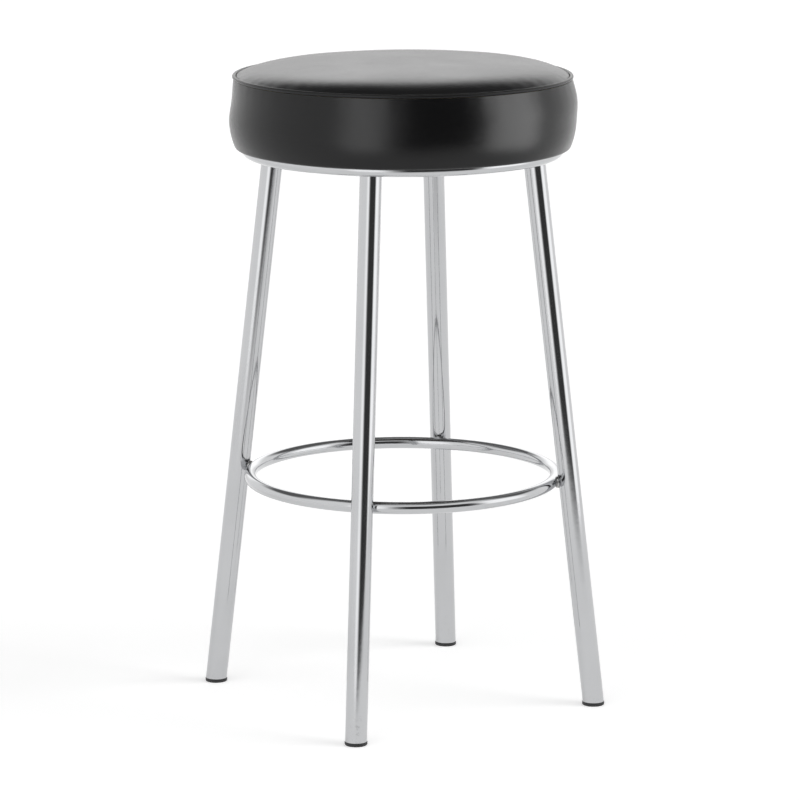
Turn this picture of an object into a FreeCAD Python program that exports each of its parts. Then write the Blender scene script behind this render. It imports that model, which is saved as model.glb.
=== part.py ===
import FreeCAD, Part
import math
import os

import Sketcher

# Lab stool: a boxed round cushion on a board, bolted to a welded frame of four splayed
# tubes, a seat hoop and a foot hoop. Millimetres, +Z up, origin on the floor at the centre.

DIMENSIONS = {
    # frame
    "leg_diameter": 23.0,
    "leg_wall": 1.5,
    "leg_splay": 6.67,
    "leg_foot_radius": 210.4,
    "hoop_radius": 163.8,
    "hoop_bar": 13.0,
    "foot_hoop_height": 242.0,
    "seat_hoop_height": 594.0,
    "weld_gap": 0.15,
    "weld_reach": 6.4,
    "weld_leg": 2.0,
    "weld_bead": 6.0,
    "weld_length": 24.0,
    # margins by which cutting shapes overreach what they cut
    "mitre_margin": 2.0,
    "trim_block": 66.0,
    # leg top plates
    "plate_thickness": 4.0,
    "plate_width": 30.0,
    "plate_inner_radius": 103.0,
    "plate_corner_round": 12.0,
    "plate_outer_radius": 159.5,
    # glides
    "glide_diameter": 23.8,
    "glide_height": 4.0,
    "glide_foot_round": 1.2,
    "glide_top_bevel": 0.6,
    "stem_diameter": 16.0,
    "stem_length": 22.0,
    "fin_diameter": 19.6,
    "fin_height": 1.4,
    "fin_first": 3.0,
    "fin_pitch": 6.0,
    # seat board and its fasteners
    "board_diameter": 340.0,
    "board_thickness": 12.0,
    "board_edge_round": 2.5,
    "bolt_circle_radius": 115.0,
    "bolt_diameter": 6.0,
    "bolt_clearance": 0.6,
    "bolt_length": 16.0,
    "bolt_head_width": 10.0,
    "bolt_head_height": 4.0,
    "washer_diameter": 12.0,
    "washer_thickness": 1.6,
    "nut_flange_diameter": 19.0,
    "nut_flange_thickness": 1.5,
    "nut_barrel_diameter": 8.0,
    "nut_barrel_length": 9.0,
    "fit_clearance": 0.2,
    # cushion
    "cover_thickness": 1.2,
    "foam_clearance": 0.3,
    "hem_inner_radius": 138.0,
    "hem_outer_radius": 167.8,
    "lip_inner_radius": 171.5,
    "lip_outer_radius": 174.8,
    "lip_drop": 4.35,
    "lip_round": 3.0,
    "corner_radius": 177.6,
    "corner_rise": 1.85,
    "belly_radius": 183.4,
    "belly_height": 627.0,
    "belly_lower_round": 75.4,
    "belly_upper_round": 191.4,
    "seam_radius": 178.6,
    "seam_height": 669.2,
    "welt_radius": 177.6,
    "welt_height": 671.4,
    "welt_diameter": 4.2,
    "top_edge_radius": 175.3,
    "top_edge_height": 672.4,
    "top_edge_skirt": 2.0,
    "shoulder_radius": 132.0,
    "shoulder_height": 683.9,
    "shoulder_round": 114.0,
    "crown_height": 688.0,
    # staples
    "staple_circle_radius": 146.0,
    "staple_crown": 10.0,
    "staple_wire": 0.7,
    "staple_step": 12.0,
    "staple_first": 15.0,
}
STAPLES_PER_QUARTER = 6
FINS = 3
HEX_SIDES = 6
FULL_TURN = 360
QUARTER_TURN = 90
ON_AXIS = 1e-9
LEG_AZIMUTH = {"front_left": 225, "front_right": 315, "rear_right": 45, "rear_left": 135}

doc = FreeCAD.newDocument("lab_stool")
sheet = doc.addObject("Spreadsheet::Sheet", "dims")
for row, (alias, value) in enumerate(DIMENSIONS.items(), start=1):
    sheet.set(f"A{row}", alias.replace("_", " "))
    sheet.set(f"B{row}", str(value))
    sheet.setAlias(f"B{row}", alias)
doc.recompute()


class Size:
    """A number together with the expression over the dimension sheet that gives it."""

    def __init__(self, value, text):
        self.value = float(value)
        self.text = text

    @staticmethod
    def of(item):
        if isinstance(item, Size):
            return item
        return Size(item, f"({item})")

    def __add__(self, other):
        other = Size.of(other)
        return Size(self.value + other.value, f"({self.text} + {other.text})")

    def __sub__(self, other):
        other = Size.of(other)
        return Size(self.value - other.value, f"({self.text} - {other.text})")

    def __mul__(self, other):
        other = Size.of(other)
        return Size(self.value * other.value, f"({self.text} * {other.text})")

    def __truediv__(self, other):
        other = Size.of(other)
        return Size(self.value / other.value, f"({self.text} / {other.text})")

    def __neg__(self):
        return Size(-self.value, f"(-{self.text})")


def dim(alias):
    return Size(getattr(sheet, alias), f"dims.{alias}")


def sine(angle):
    return Size(math.sin(math.radians(angle.value)), f"sin({angle.text})")


def cosine(angle):
    return Size(math.cos(math.radians(angle.value)), f"cos({angle.text})")


def tangent(angle):
    return Size(math.tan(math.radians(angle.value)), f"tan({angle.text})")


def root(size):
    return Size(math.sqrt(size.value), f"sqrt({size.text})")


# Sizes worked out from the sheet
splay = dim("leg_splay")
leg_radius = dim("leg_diameter") / 2
bar_radius = dim("hoop_bar") / 2
hem_plane = dim("seat_hoop_height") + bar_radius
plate_underside = hem_plane - dim("plate_thickness")
board_underside = hem_plane + dim("cover_thickness")
board_top = board_underside + dim("board_thickness")
foam_inset = dim("cover_thickness") + dim("foam_clearance")


def leg_axis_radius(height):
    """Distance of a leg's axis from the stool's axis at a height above the floor."""
    return dim("leg_foot_radius") - height * tangent(splay)


def bind(item, **sizes):
    """Drive properties of an object from the sheet."""
    for name, size in sizes.items():
        item.setExpression(name, Size.of(size).text)


def place(item, radius=0, height=0, azimuth=0, tilt=0, side=0, roll=0):
    """Set an object at a radius, height and azimuth, beside its radial line where side is given.

    tilt leans it inwards and roll turns it about its radial line, both in degrees.
    """
    radius, height, tilt, side = (Size.of(size) for size in (radius, height, tilt, side))
    east = f"{radius.text} * cos({azimuth}) - {side.text} * sin({azimuth})"
    north = f"{radius.text} * sin({azimuth}) + {side.text} * cos({azimuth})"
    turns = [
        f"rotation(vector(0; 0; 1); {azimuth})",
        f"rotation(vector(0; 1; 0); -{tilt.text})",
        f"rotation(vector(1; 0; 0); {roll})",
    ]
    spot = f"vector({east}; {north}; {height.text})"
    item.setExpression("Placement", f"placement({spot}; {' * '.join(turns)})")
    return item


def new_body(label):
    body = doc.addObject("PartDesign::Body", label)
    body.Label = label
    return body


def new_sketch(body, name, plane, height=None):
    """An empty sketch on one of the body's own planes, raised by an offset where given."""
    sketch = body.newObject("Sketcher::SketchObject", name)
    support = [item for item in body.Origin.OriginFeatures if item.Role == plane]
    sketch.AttachmentSupport = [(support[0], "")]
    sketch.MapMode = "FlatFace"
    if height is not None:
        sketch.setExpression("AttachmentOffset.Base.z", height.text)
    return sketch


def constrain(sketch, size, *constraint):
    """Add a dimension to a sketch and bind it to the sheet."""
    index = sketch.addConstraint(Sketcher.Constraint(*constraint, size.value))
    sketch.setExpression(f"Constraints[{index}]", size.text)


def fix_point(sketch, geometry, end, across, along):
    """Hold one end of a sketch edge at its two coordinates."""
    for kind, size, axis in (("DistanceX", Size.of(across), -2), ("DistanceY", Size.of(along), -1)):
        if abs(size.value) < ON_AXIS:
            sketch.addConstraint(Sketcher.Constraint("PointOnObject", geometry, end, axis))
        else:
            constrain(sketch, size, kind, -1, 1, geometry, end)


def draw_circle(sketch, radius, across=0, along=0):
    radius, across, along = (Size.of(size) for size in (radius, across, along))
    centre = FreeCAD.Vector(across.value, along.value, 0)
    circle = sketch.addGeometry(Part.Circle(centre, FreeCAD.Vector(0, 0, 1), radius.value))
    fix_point(sketch, circle, 3, across, along)
    constrain(sketch, radius, "Radius", circle)


def arc_between(start, finish, radius):
    """The arc from start to finish. A positive radius turns left, a negative one right."""
    chord = finish - start
    half = chord.Length / 2
    left = FreeCAD.Vector(-chord.y, chord.x, 0).normalize()
    centre = start + chord * 0.5 + left * math.copysign(math.sqrt(radius**2 - half**2), radius)
    first, last = (start, finish) if radius > 0 else (finish, start)
    angles = [math.atan2(point.y - centre.y, point.x - centre.x) for point in (first, last)]
    circle = Part.Circle(centre, FreeCAD.Vector(0, 0, 1), abs(radius))
    return Part.ArcOfCircle(circle, *angles)


def dome_radius(start, finish):
    """Radius of the arc through two points whose centre is on the vertical axis."""
    middle = (start + finish) * 0.5
    chord = finish - start
    centre = FreeCAD.Vector(0, middle.y + middle.x * chord.x / chord.y, 0)
    return (start - centre).Length


def draw_outline(sketch, corners, rounds=None, dome=None):
    """A closed outline through corner points.

    rounds gives the radius of the arc that leaves a corner, by the corner's number; the other
    edges are straight. A positive radius turns left on its way, a negative one right. dome gives
    the numbers of corners left by an arc centred on the vertical axis, with its sense of turn.
    """
    rounds = rounds or {}
    dome = dome or {}
    points = [(Size.of(across), Size.of(along)) for across, along in corners]
    places = [FreeCAD.Vector(across.value, along.value, 0) for across, along in points]
    edges = []
    for number, start in enumerate(places):
        finish = places[(number + 1) % len(places)]
        if number in rounds:
            turn = rounds[number].value
        elif number in dome:
            turn = dome[number] * dome_radius(start, finish)
        else:
            edges.append((sketch.addGeometry(Part.LineSegment(start, finish)), 1, 2))
            continue
        edge = sketch.addGeometry(arc_between(start, finish, turn))
        edges.append((edge, 1, 2) if turn > 0 else (edge, 2, 1))
    for number, (edge, _, finish) in enumerate(edges):
        next_edge, next_start, _ = edges[(number + 1) % len(edges)]
        joint = Sketcher.Constraint("Coincident", edge, finish, next_edge, next_start)
        sketch.addConstraint(joint)
    for (edge, start, _), (across, along) in zip(edges, points):
        fix_point(sketch, edge, start, across, along)
    for number, radius in rounds.items():
        constrain(sketch, radius if radius.value > 0 else -radius, "Radius", edges[number][0])
    for number in dome:
        sketch.addConstraint(Sketcher.Constraint("PointOnObject", edges[number][0], 3, -2))


def pad(body, sketch, name, length, direction=None):
    feature = body.newObject("PartDesign::Pad", name)
    feature.Profile = sketch
    bind(feature, Length=length)
    if direction is not None:
        feature.UseCustomVector = True
        feature.AlongSketchNormal = True
        feature.Direction = direction
    return feature


def pocket_through(body, sketch, name):
    feature = body.newObject("PartDesign::Pocket", name)
    feature.Profile = sketch
    feature.Type = "ThroughAll"
    feature.SideType = "Symmetric"
    return feature


def revolve(body, sketch, name):
    feature = body.newObject("PartDesign::Revolution", name)
    feature.Profile = sketch
    feature.ReferenceAxis = (sketch, ["V_Axis"])
    feature.Angle = FULL_TURN
    return feature


def primitive(kind, name, **sizes):
    item = doc.addObject(f"Part::{kind}", name)
    bind(item, **sizes)
    return item


def cut(name, base, tool):
    item = doc.addObject("Part::Cut", name)
    item.Base = base
    item.Tool = tool
    return item


def fuse(name, *shapes):
    item = doc.addObject("Part::MultiFuse", name)
    item.Shapes = list(shapes)
    return item


def group(label, members):
    item = doc.addObject("Part::Compound", label)
    item.Label = label
    item.Links = members
    return item


def hoop(label, height):
    """A closed hoop of round bar, lying level."""
    ring = primitive("Torus", label, Radius1=dim("hoop_radius"), Radius2=bar_radius)
    ring.Label = label
    return place(ring, height=height)


def mitre_outline(level, far_end):
    """Outline, in a leg's own frame, of what lies between a level cut and a far end."""
    half = leg_radius + dim("mitre_margin")
    on_axis = level / cosine(splay)
    slope = half * tangent(splay)
    return [(-half, on_axis + slope), (half, on_axis - slope), (half, far_end), (-half, far_end)]


def leg(corner, azimuth):
    """A straight tube whose two ends are cut level, leaning inwards along its azimuth."""
    body = new_body(f"leg_{corner}")
    section = new_sketch(body, "tube_section", "XY_Plane")
    draw_circle(section, leg_radius)
    draw_circle(section, leg_radius - dim("leg_wall"))
    length = plate_underside / cosine(splay) + leg_radius
    pad(body, section, "tube", length)
    for name, level, far_end in (
        ("foot_mitre", dim("glide_height"), -leg_radius),
        ("top_mitre", plate_underside, length + leg_radius),
    ):
        trim = new_sketch(body, f"{name}_outline", "XZ_Plane")
        draw_outline(trim, mitre_outline(level, far_end))
        pocket_through(body, trim, name)
    return place(body, radius=dim("leg_foot_radius"), azimuth=azimuth, tilt=splay)


def glide(corner, azimuth):
    """A flat flanged foot with a finned stem that follows the leg's slope into the tube."""
    body = new_body(f"glide_{corner}")
    radius = dim("glide_diameter") / 2
    height = dim("glide_height")
    foot = dim("glide_foot_round")
    bevel = dim("glide_top_bevel")
    flange = new_sketch(body, "flange_profile", "XZ_Plane")
    corners = [
        (0, 0),
        (radius - foot, 0),
        (radius, foot),
        (radius, height - bevel),
        (radius - bevel, height),
        (0, height),
    ]
    draw_outline(flange, corners, {1: foot})
    revolve(body, flange, "flange")
    lean = math.radians(splay.value)
    along_leg = FreeCAD.Vector(-math.sin(lean), 0, math.cos(lean))
    rise = dim("stem_length") * cosine(splay)
    stem = new_sketch(body, "stem_section", "XY_Plane", height)
    draw_circle(stem, dim("stem_diameter") / 2)
    pad(body, stem, "stem", rise, along_leg)
    for number in range(FINS):
        lift = dim("fin_first") + dim("fin_pitch") * number
        fin = new_sketch(body, f"fin_{number}_section", "XY_Plane", height + lift)
        draw_circle(fin, dim("fin_diameter") / 2, across=-lift * tangent(splay))
        pad(body, fin, f"fin_{number}", dim("fin_height"), along_leg)
    return place(body, radius=leg_axis_radius(height), azimuth=azimuth)


def top_plate(corner, azimuth):
    """A flat plate on a leg's top, rounded at its inner end and coped to the seat hoop."""
    body = new_body(f"top_plate_{corner}")
    half = dim("plate_width") / 2
    inner = dim("plate_inner_radius")
    outer = dim("plate_outer_radius")
    corner_round = dim("plate_corner_round")
    outline = new_sketch(body, "plate_outline", "XY_Plane", plate_underside)
    corners = [
        (inner + corner_round, half),
        (inner, half - corner_round),
        (inner, corner_round - half),
        (inner + corner_round, -half),
        (outer, -half),
        (outer, half),
    ]
    draw_outline(outline, corners, {0: corner_round, 2: corner_round})
    pad(body, outline, "plate", dim("plate_thickness"))
    hole = new_sketch(body, "bolt_hole_outline", "XY_Plane", plate_underside)
    hole_radius = (dim("bolt_diameter") + dim("bolt_clearance")) / 2
    draw_circle(hole, hole_radius, across=dim("bolt_circle_radius"))
    pocket_through(body, hole, "bolt_hole")
    cope = new_sketch(body, "cope_profile", "XZ_Plane")
    draw_circle(cope, bar_radius + dim("weld_gap"), dim("hoop_radius"), dim("seat_hoop_height"))
    groove = body.newObject("PartDesign::Groove", "hoop_cope")
    groove.Profile = cope
    groove.ReferenceAxis = (cope, ["V_Axis"])
    groove.Angle = FULL_TURN
    return place(body, azimuth=azimuth)


def leg_rod(name, azimuth):
    """A solid rod with the outside of a leg, for trimming weld beads."""
    length = plate_underside / cosine(splay) + leg_radius
    rod = primitive("Cylinder", name, Radius=leg_radius, Height=length)
    return place(rod, radius=dim("leg_foot_radius"), azimuth=azimuth, tilt=splay)


def trim_block(name, radius, azimuth):
    """A block that stands on the plates' undersides round a radius, for trimming weld beads."""
    block = dim("trim_block")
    item = primitive("Box", name, Length=block, Width=block, Height=block)
    return place(item, radius - block / 2, plate_underside, azimuth, side=-block / 2)


def foot_ring_weld(corner, azimuth, foot_ring):
    """A bead that fills the crossing of the foot hoop and a leg's inner face."""
    reach = dim("weld_reach")
    radii = {"Radius1": reach, "Radius2": reach, "Radius3": reach}
    bead = primitive("Ellipsoid", f"foot_bead_{corner}", **radii)
    place(bead, dim("hoop_radius") + bar_radius, dim("foot_hoop_height"), azimuth)
    trimmed = cut(f"foot_bead_on_hoop_{corner}", bead, foot_ring)
    return cut(f"foot_weld_{corner}", trimmed, leg_rod(f"foot_bead_rod_{corner}", azimuth))


def leg_top_weld(corner, azimuth):
    """A fillet bead round a leg's top, under its plate."""
    leg_size = dim("weld_leg")
    slope = leg_radius * tangent(splay)
    spread = leg_size + slope * 2
    start = plate_underside / cosine(splay) - leg_size - slope
    bead = primitive(
        "Cone",
        f"top_bead_{corner}",
        Radius1=leg_radius,
        Radius2=leg_radius + spread,
        Height=spread,
    )
    place(bead, dim("leg_foot_radius") - start * sine(splay), start * cosine(splay), azimuth, splay)
    leg_top = leg_axis_radius(plate_underside)
    above = trim_block(f"top_bead_trim_{corner}", leg_top, azimuth)
    trimmed = cut(f"top_bead_level_{corner}", bead, above)
    return cut(f"top_weld_{corner}", trimmed, leg_rod(f"top_bead_rod_{corner}", azimuth))


def seat_ring_weld(corner, azimuth, seat_ring):
    """A bead along a plate's underside where it meets the seat hoop."""
    length = dim("weld_length")
    reach = dim("hoop_radius") - bar_radius
    bead = primitive("Cylinder", f"ring_bead_{corner}", Radius=dim("weld_bead") / 2, Height=length)
    place(bead, reach, plate_underside, azimuth, side=length / 2, roll=QUARTER_TURN)
    above = trim_block(f"ring_bead_trim_{corner}", reach, azimuth)
    trimmed = cut(f"ring_bead_level_{corner}", bead, above)
    return cut(f"ring_weld_{corner}", trimmed, seat_ring)


def seat_bolt(corner, azimuth):
    """A hex bolt standing in its washer, from below."""
    half_flat = Size.of(FULL_TURN / HEX_SIDES / 2)
    corner_radius = dim("bolt_head_width") / 2 / cosine(half_flat)
    shank_radius = dim("bolt_diameter") / 2
    seat_height = plate_underside - dim("washer_thickness")
    head = doc.addObject("Part::Prism", f"bolt_head_{corner}")
    head.Polygon = HEX_SIDES
    bind(head, Circumradius=corner_radius, Height=dim("bolt_head_height"))
    place(head, dim("bolt_circle_radius"), seat_height - dim("bolt_head_height"), azimuth)
    shank_name = f"bolt_shank_{corner}"
    shank = primitive("Cylinder", shank_name, Radius=shank_radius, Height=dim("bolt_length"))
    place(shank, dim("bolt_circle_radius"), seat_height, azimuth)
    return fuse(f"bolt_{corner}", head, shank)


def round_part(corner, azimuth, name, height, layers):
    """Stacked discs round one bolt, bored through for it."""
    discs = []
    level = height
    for number, (diameter, thickness) in enumerate(layers):
        disc_name = f"{name}_disc_{number}_{corner}"
        disc = primitive("Cylinder", disc_name, Radius=diameter / 2, Height=thickness)
        discs.append(place(disc, dim("bolt_circle_radius"), level, azimuth))
        level = level + thickness
    bore_radius = (dim("bolt_diameter") + dim("fit_clearance")) / 2
    bore = primitive("Cylinder", f"{name}_bore_{corner}", Radius=bore_radius, Height=level - height)
    place(bore, dim("bolt_circle_radius"), height, azimuth)
    blank = discs[0] if len(discs) == 1 else fuse(f"{name}_blank_{corner}", *discs)
    return cut(f"{name}_{corner}", blank, bore)


def staple(name, azimuth):
    """The crown of one staple, lying along the hem."""
    wire = dim("staple_wire")
    crown = primitive("Box", name, Length=wire, Width=dim("staple_crown"), Height=wire)
    side = -dim("staple_crown") / 2
    return place(crown, dim("staple_circle_radius"), hem_plane - wire, azimuth, side=side)


def seat_board():
    """A round plywood board with a softened edge and four counterbored nut holes."""
    body = new_body("seat_board")
    radius = dim("board_diameter") / 2
    edge = dim("board_edge_round")
    profile = new_sketch(body, "board_profile", "XZ_Plane")
    corners = [
        (0, board_underside),
        (radius - edge, board_underside),
        (radius, board_underside + edge),
        (radius, board_top - edge),
        (radius - edge, board_top),
        (0, board_top),
    ]
    draw_outline(profile, corners, {1: edge, 3: edge})
    revolve(body, profile, "disc")
    for name, diameter, depth in (
        ("nut_hole", dim("nut_barrel_diameter"), dim("board_thickness")),
        ("nut_seat", dim("nut_flange_diameter"), dim("nut_flange_thickness")),
    ):
        outline = new_sketch(body, f"{name}_outlines", "XY_Plane", board_top)
        for azimuth in LEG_AZIMUTH.values():
            turn = Size.of(azimuth)
            across = dim("bolt_circle_radius") * cosine(turn)
            along = dim("bolt_circle_radius") * sine(turn)
            draw_circle(outline, (diameter + dim("fit_clearance")) / 2, across, along)
        pocket = body.newObject("PartDesign::Pocket", name)
        pocket.Profile = outline
        bind(pocket, Length=depth)
    return body


def belly_reach(inset, height):
    """Radius of the band's lower swell at a height, moved in by an inset."""
    centre = dim("belly_radius") - dim("belly_lower_round")
    swell = dim("belly_lower_round") - inset
    drop = dim("belly_height") - height
    return centre + root(swell * swell - drop * drop)


def seat_side_band():
    """The side band: hem under the board, drawn-in lip, and a belly up to the seam."""
    body = new_body("seat_side_band")
    cloth = dim("cover_thickness")
    lip = hem_plane - dim("lip_drop")
    belly = dim("belly_radius")
    waist = dim("belly_height")
    seam = dim("seam_height")
    corner = lip + dim("corner_rise")
    profile = new_sketch(body, "band_profile", "XZ_Plane")
    corners = [
        (dim("hem_inner_radius"), hem_plane),
        (dim("hem_outer_radius"), hem_plane),
        (dim("lip_inner_radius"), lip),
        (dim("lip_outer_radius"), lip),
        (dim("corner_radius"), corner),
        (belly, waist),
        (dim("seam_radius"), seam),
        (dim("seam_radius") - cloth, seam),
        (belly - cloth, waist),
        (belly_reach(cloth, corner), corner),
        (dim("lip_outer_radius"), lip + cloth),
        (dim("lip_inner_radius") + cloth / 2, lip + cloth),
        (dim("hem_outer_radius") + cloth / 2, hem_plane + cloth),
        (dim("hem_inner_radius"), hem_plane + cloth),
    ]
    rounds = {
        3: dim("lip_round"),
        4: dim("belly_lower_round"),
        5: dim("belly_upper_round"),
        7: -(dim("belly_upper_round") - cloth),
        8: -(dim("belly_lower_round") - cloth),
        9: -(dim("lip_round") - cloth),
    }
    draw_outline(profile, corners, rounds)
    revolve(body, profile, "band")
    return body


def crown_corners(inset):
    """Edge, shoulder and apex of the cushion's crown, moved in by an inset."""
    return [
        (dim("top_edge_radius") - inset, dim("top_edge_height") - inset),
        (dim("shoulder_radius"), dim("shoulder_height") - inset),
        (0, dim("crown_height") - inset),
    ]


def seat_top_cover():
    """The top panel: a skirt down into the seam, a round shoulder and a low crown."""
    body = new_body("seat_top_cover")
    cloth = dim("cover_thickness")
    skirt = dim("top_edge_height") - dim("top_edge_skirt")
    profile = new_sketch(body, "top_profile", "XZ_Plane")
    corners = [
        (dim("top_edge_radius") - cloth, skirt),
        (dim("top_edge_radius"), skirt),
        *crown_corners(Size.of(0)),
        *reversed(crown_corners(cloth)),
    ]
    rounds = {2: dim("shoulder_round"), 6: -(dim("shoulder_round") - cloth)}
    draw_outline(profile, corners, rounds, dome={3: 1, 5: -1})
    revolve(body, profile, "top")
    return body


def seat_foam():
    """The foam: flat on the board, wrapped down round its edge, and crowned on top."""
    body = new_body("seat_foam")
    rest = board_top + dim("foam_clearance")
    board_edge = dim("board_diameter") / 2 + dim("foam_clearance")
    foot = board_underside + dim("foam_clearance")
    seam = dim("seam_height") - foam_inset
    profile = new_sketch(body, "foam_profile", "XZ_Plane")
    corners = [
        (0, rest),
        (board_edge, rest),
        (board_edge, foot),
        (belly_reach(foam_inset, foot), foot),
        (dim("belly_radius") - foam_inset, dim("belly_height")),
        (dim("seam_radius") - foam_inset, seam),
        (dim("top_edge_radius") - foam_inset, seam),
        *crown_corners(foam_inset),
    ]
    rounds = {
        3: dim("belly_lower_round") - foam_inset,
        4: dim("belly_upper_round") - foam_inset,
        7: dim("shoulder_round") - foam_inset,
    }
    draw_outline(profile, corners, rounds, dome={8: 1})
    revolve(body, profile, "foam")
    return body


def seat_welt():
    """The piping sewn between the top panel and the side band."""
    cord_radius = dim("welt_diameter") / 2
    welt = primitive("Torus", "seat_welt", Radius1=dim("welt_radius"), Radius2=cord_radius)
    welt.Label = "seat_welt"
    return place(welt, height=dim("welt_height"))


def build_parts():
    """Every sub-part of the stool, in the order in which it goes together."""
    foot_ring = hoop("foot_ring", dim("foot_hoop_height"))
    seat_ring = hoop("seat_ring", dim("seat_hoop_height"))
    parts = [foot_ring, seat_ring]
    fasteners = {name: [] for name in ("seat_bolts", "seat_washers", "seat_t_nuts", "seat_staples")}
    welds = {name: [] for name in ("foot_ring_welds", "leg_top_welds", "seat_ring_welds")}
    washer = [(dim("washer_diameter"), dim("washer_thickness"))]
    nut = [
        (dim("nut_barrel_diameter"), dim("nut_barrel_length")),
        (dim("nut_flange_diameter"), dim("nut_flange_thickness")),
    ]
    nut_foot = board_top - dim("nut_flange_thickness") - dim("nut_barrel_length")
    for corner, azimuth in LEG_AZIMUTH.items():
        parts += [leg(corner, azimuth), glide(corner, azimuth), top_plate(corner, azimuth)]
        welds["foot_ring_welds"].append(foot_ring_weld(corner, azimuth, foot_ring))
        welds["leg_top_welds"].append(leg_top_weld(corner, azimuth))
        welds["seat_ring_welds"].append(seat_ring_weld(corner, azimuth, seat_ring))
        washer_foot = plate_underside - dim("washer_thickness")
        fasteners["seat_bolts"].append(seat_bolt(corner, azimuth))
        fasteners["seat_washers"].append(round_part(corner, azimuth, "washer", washer_foot, washer))
        fasteners["seat_t_nuts"].append(round_part(corner, azimuth, "t_nut", nut_foot, nut))
        for number in range(STAPLES_PER_QUARTER):
            turn = azimuth + sheet.staple_first + sheet.staple_step * number
            fasteners["seat_staples"].append(staple(f"staple_{corner}_{number}", turn))
    parts += [group(label, members) for label, members in {**welds, **fasteners}.items()]
    parts += [seat_board(), seat_foam(), seat_side_band(), seat_top_cover(), seat_welt()]
    return parts


def check(parts):
    """Stop if any object failed to rebuild or any sub-part has no sound solid."""
    broken = [item.Name for item in doc.Objects if {"Invalid", "Error"} & set(item.State)]
    unsound = [part.Label for part in parts if part.Shape.isNull() or not part.Shape.isValid()]
    if broken or unsound:
        raise RuntimeError(f"failed objects {broken}, unsound shapes {unsound}")


stool = build_parts()
doc.recompute()
check(stool)
os.makedirs("parts", exist_ok=True)
for part in stool:
    part.Shape.exportStep(f"parts/{part.Label}.step")
    print(f"{part.Label}: {len(part.Shape.Solids)} solids, {part.Shape.Volume:.0f} mm3")
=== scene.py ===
"""Looks of a lab stool: a chrome tube frame under a round boxed cushion, in a white studio.

Metres, +Z up, with the origin on the floor under the middle of the seat, as the frame has it.
"""

import logging
import math
from collections.abc import Callable, Iterator, Sequence
from contextlib import contextmanager
from dataclasses import dataclass
from enum import Enum

import bpy
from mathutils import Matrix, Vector, noise


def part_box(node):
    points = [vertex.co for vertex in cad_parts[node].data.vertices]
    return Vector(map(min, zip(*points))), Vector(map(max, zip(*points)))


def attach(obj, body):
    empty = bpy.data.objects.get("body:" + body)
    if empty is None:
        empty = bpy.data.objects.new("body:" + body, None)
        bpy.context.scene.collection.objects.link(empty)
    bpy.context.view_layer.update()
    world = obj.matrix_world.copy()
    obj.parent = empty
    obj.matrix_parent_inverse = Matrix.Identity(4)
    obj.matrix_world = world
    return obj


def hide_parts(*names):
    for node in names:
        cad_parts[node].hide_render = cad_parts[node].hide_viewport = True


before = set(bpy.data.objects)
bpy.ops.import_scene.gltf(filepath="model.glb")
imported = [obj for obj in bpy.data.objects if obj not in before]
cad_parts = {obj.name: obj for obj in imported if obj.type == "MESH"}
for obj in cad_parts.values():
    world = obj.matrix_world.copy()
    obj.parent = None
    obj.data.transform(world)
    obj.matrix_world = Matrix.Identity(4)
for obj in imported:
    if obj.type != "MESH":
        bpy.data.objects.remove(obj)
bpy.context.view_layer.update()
LOG = logging.getLogger("lab_stool")
BODY = "root"
FULL_TURN = 2 * math.pi
MERGE_DISTANCE = 1e-6
SMOOTH_ANGLE = math.radians(40)

Point = tuple[float, float]
Span = tuple[float, float]
Scale = tuple[float, float, float]
Colour = tuple[float, float, float, float]


def grey(level: float) -> Colour:
    """Gives an opaque neutral colour of one level."""
    return (level, level, level, 1.0)


class Slot(Enum):
    """Material slots of the record, by the finish that they carry."""

    CHROME = "chrome"
    PLATE = "plate_steel"
    FASTENER = "zinc_fastener"
    LEATHERETTE = "leatherette"
    WELT = "welt_leatherette"
    FOAM = "foam"
    PLYWOOD = "plywood"
    GLIDE = "glide_plastic"


class Socket:
    """One output of a node graph, whose arithmetic adds Math nodes to the graph."""

    def __init__(self, graph: "Graph", output: bpy.types.NodeSocket) -> None:
        """Keeps the graph and the output that this wraps."""
        self.graph = graph
        self.output = output

    def math(self, operation: str, *others: "Socket | float") -> "Socket":
        """Adds a Math node that starts from this output.

        Args:
            operation: Name of the Math node's operation.
            others: The node's further numbers, as outputs or constants.

        Returns:
            The node's result.
        """
        numbers = dict(enumerate((self, *others)))
        return self.graph.add("ShaderNodeMath", {"operation": operation}, numbers)

    def __add__(self, other: "Socket | float") -> "Socket":
        """Adds a number or an output."""
        return self.math("ADD", other)

    __radd__ = __add__

    def __sub__(self, other: "Socket | float") -> "Socket":
        """Takes a number or an output away."""
        return self.math("SUBTRACT", other)

    def __rsub__(self, other: float) -> "Socket":
        """Takes this output away from a number."""
        return self.graph.add("ShaderNodeMath", {"operation": "SUBTRACT"}, {0: other, 1: self})

    def __mul__(self, other: "Socket | float") -> "Socket":
        """Multiplies by a number or an output."""
        return self.math("MULTIPLY", other)

    __rmul__ = __mul__

    def step(self, low: float, high: float) -> "Socket":
        """Rises smoothly over a span of values.

        Args:
            low: Value where the result leaves 0.
            high: Value where it reaches 1.

        Returns:
            The result.
        """
        settings = {"interpolation_type": "SMOOTHSTEP"}
        ends = {"Value": self, "From Min": low, "From Max": high}
        return self.graph.add("ShaderNodeMapRange", settings, ends)

    def window(self, low: float, high: float, soft: float) -> "Socket":
        """Is 1 between low and high, and falls to 0 over a soft edge on both sides."""
        return self.step(low - soft, low + soft) * (1 - self.step(high - soft, high + soft))


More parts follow.
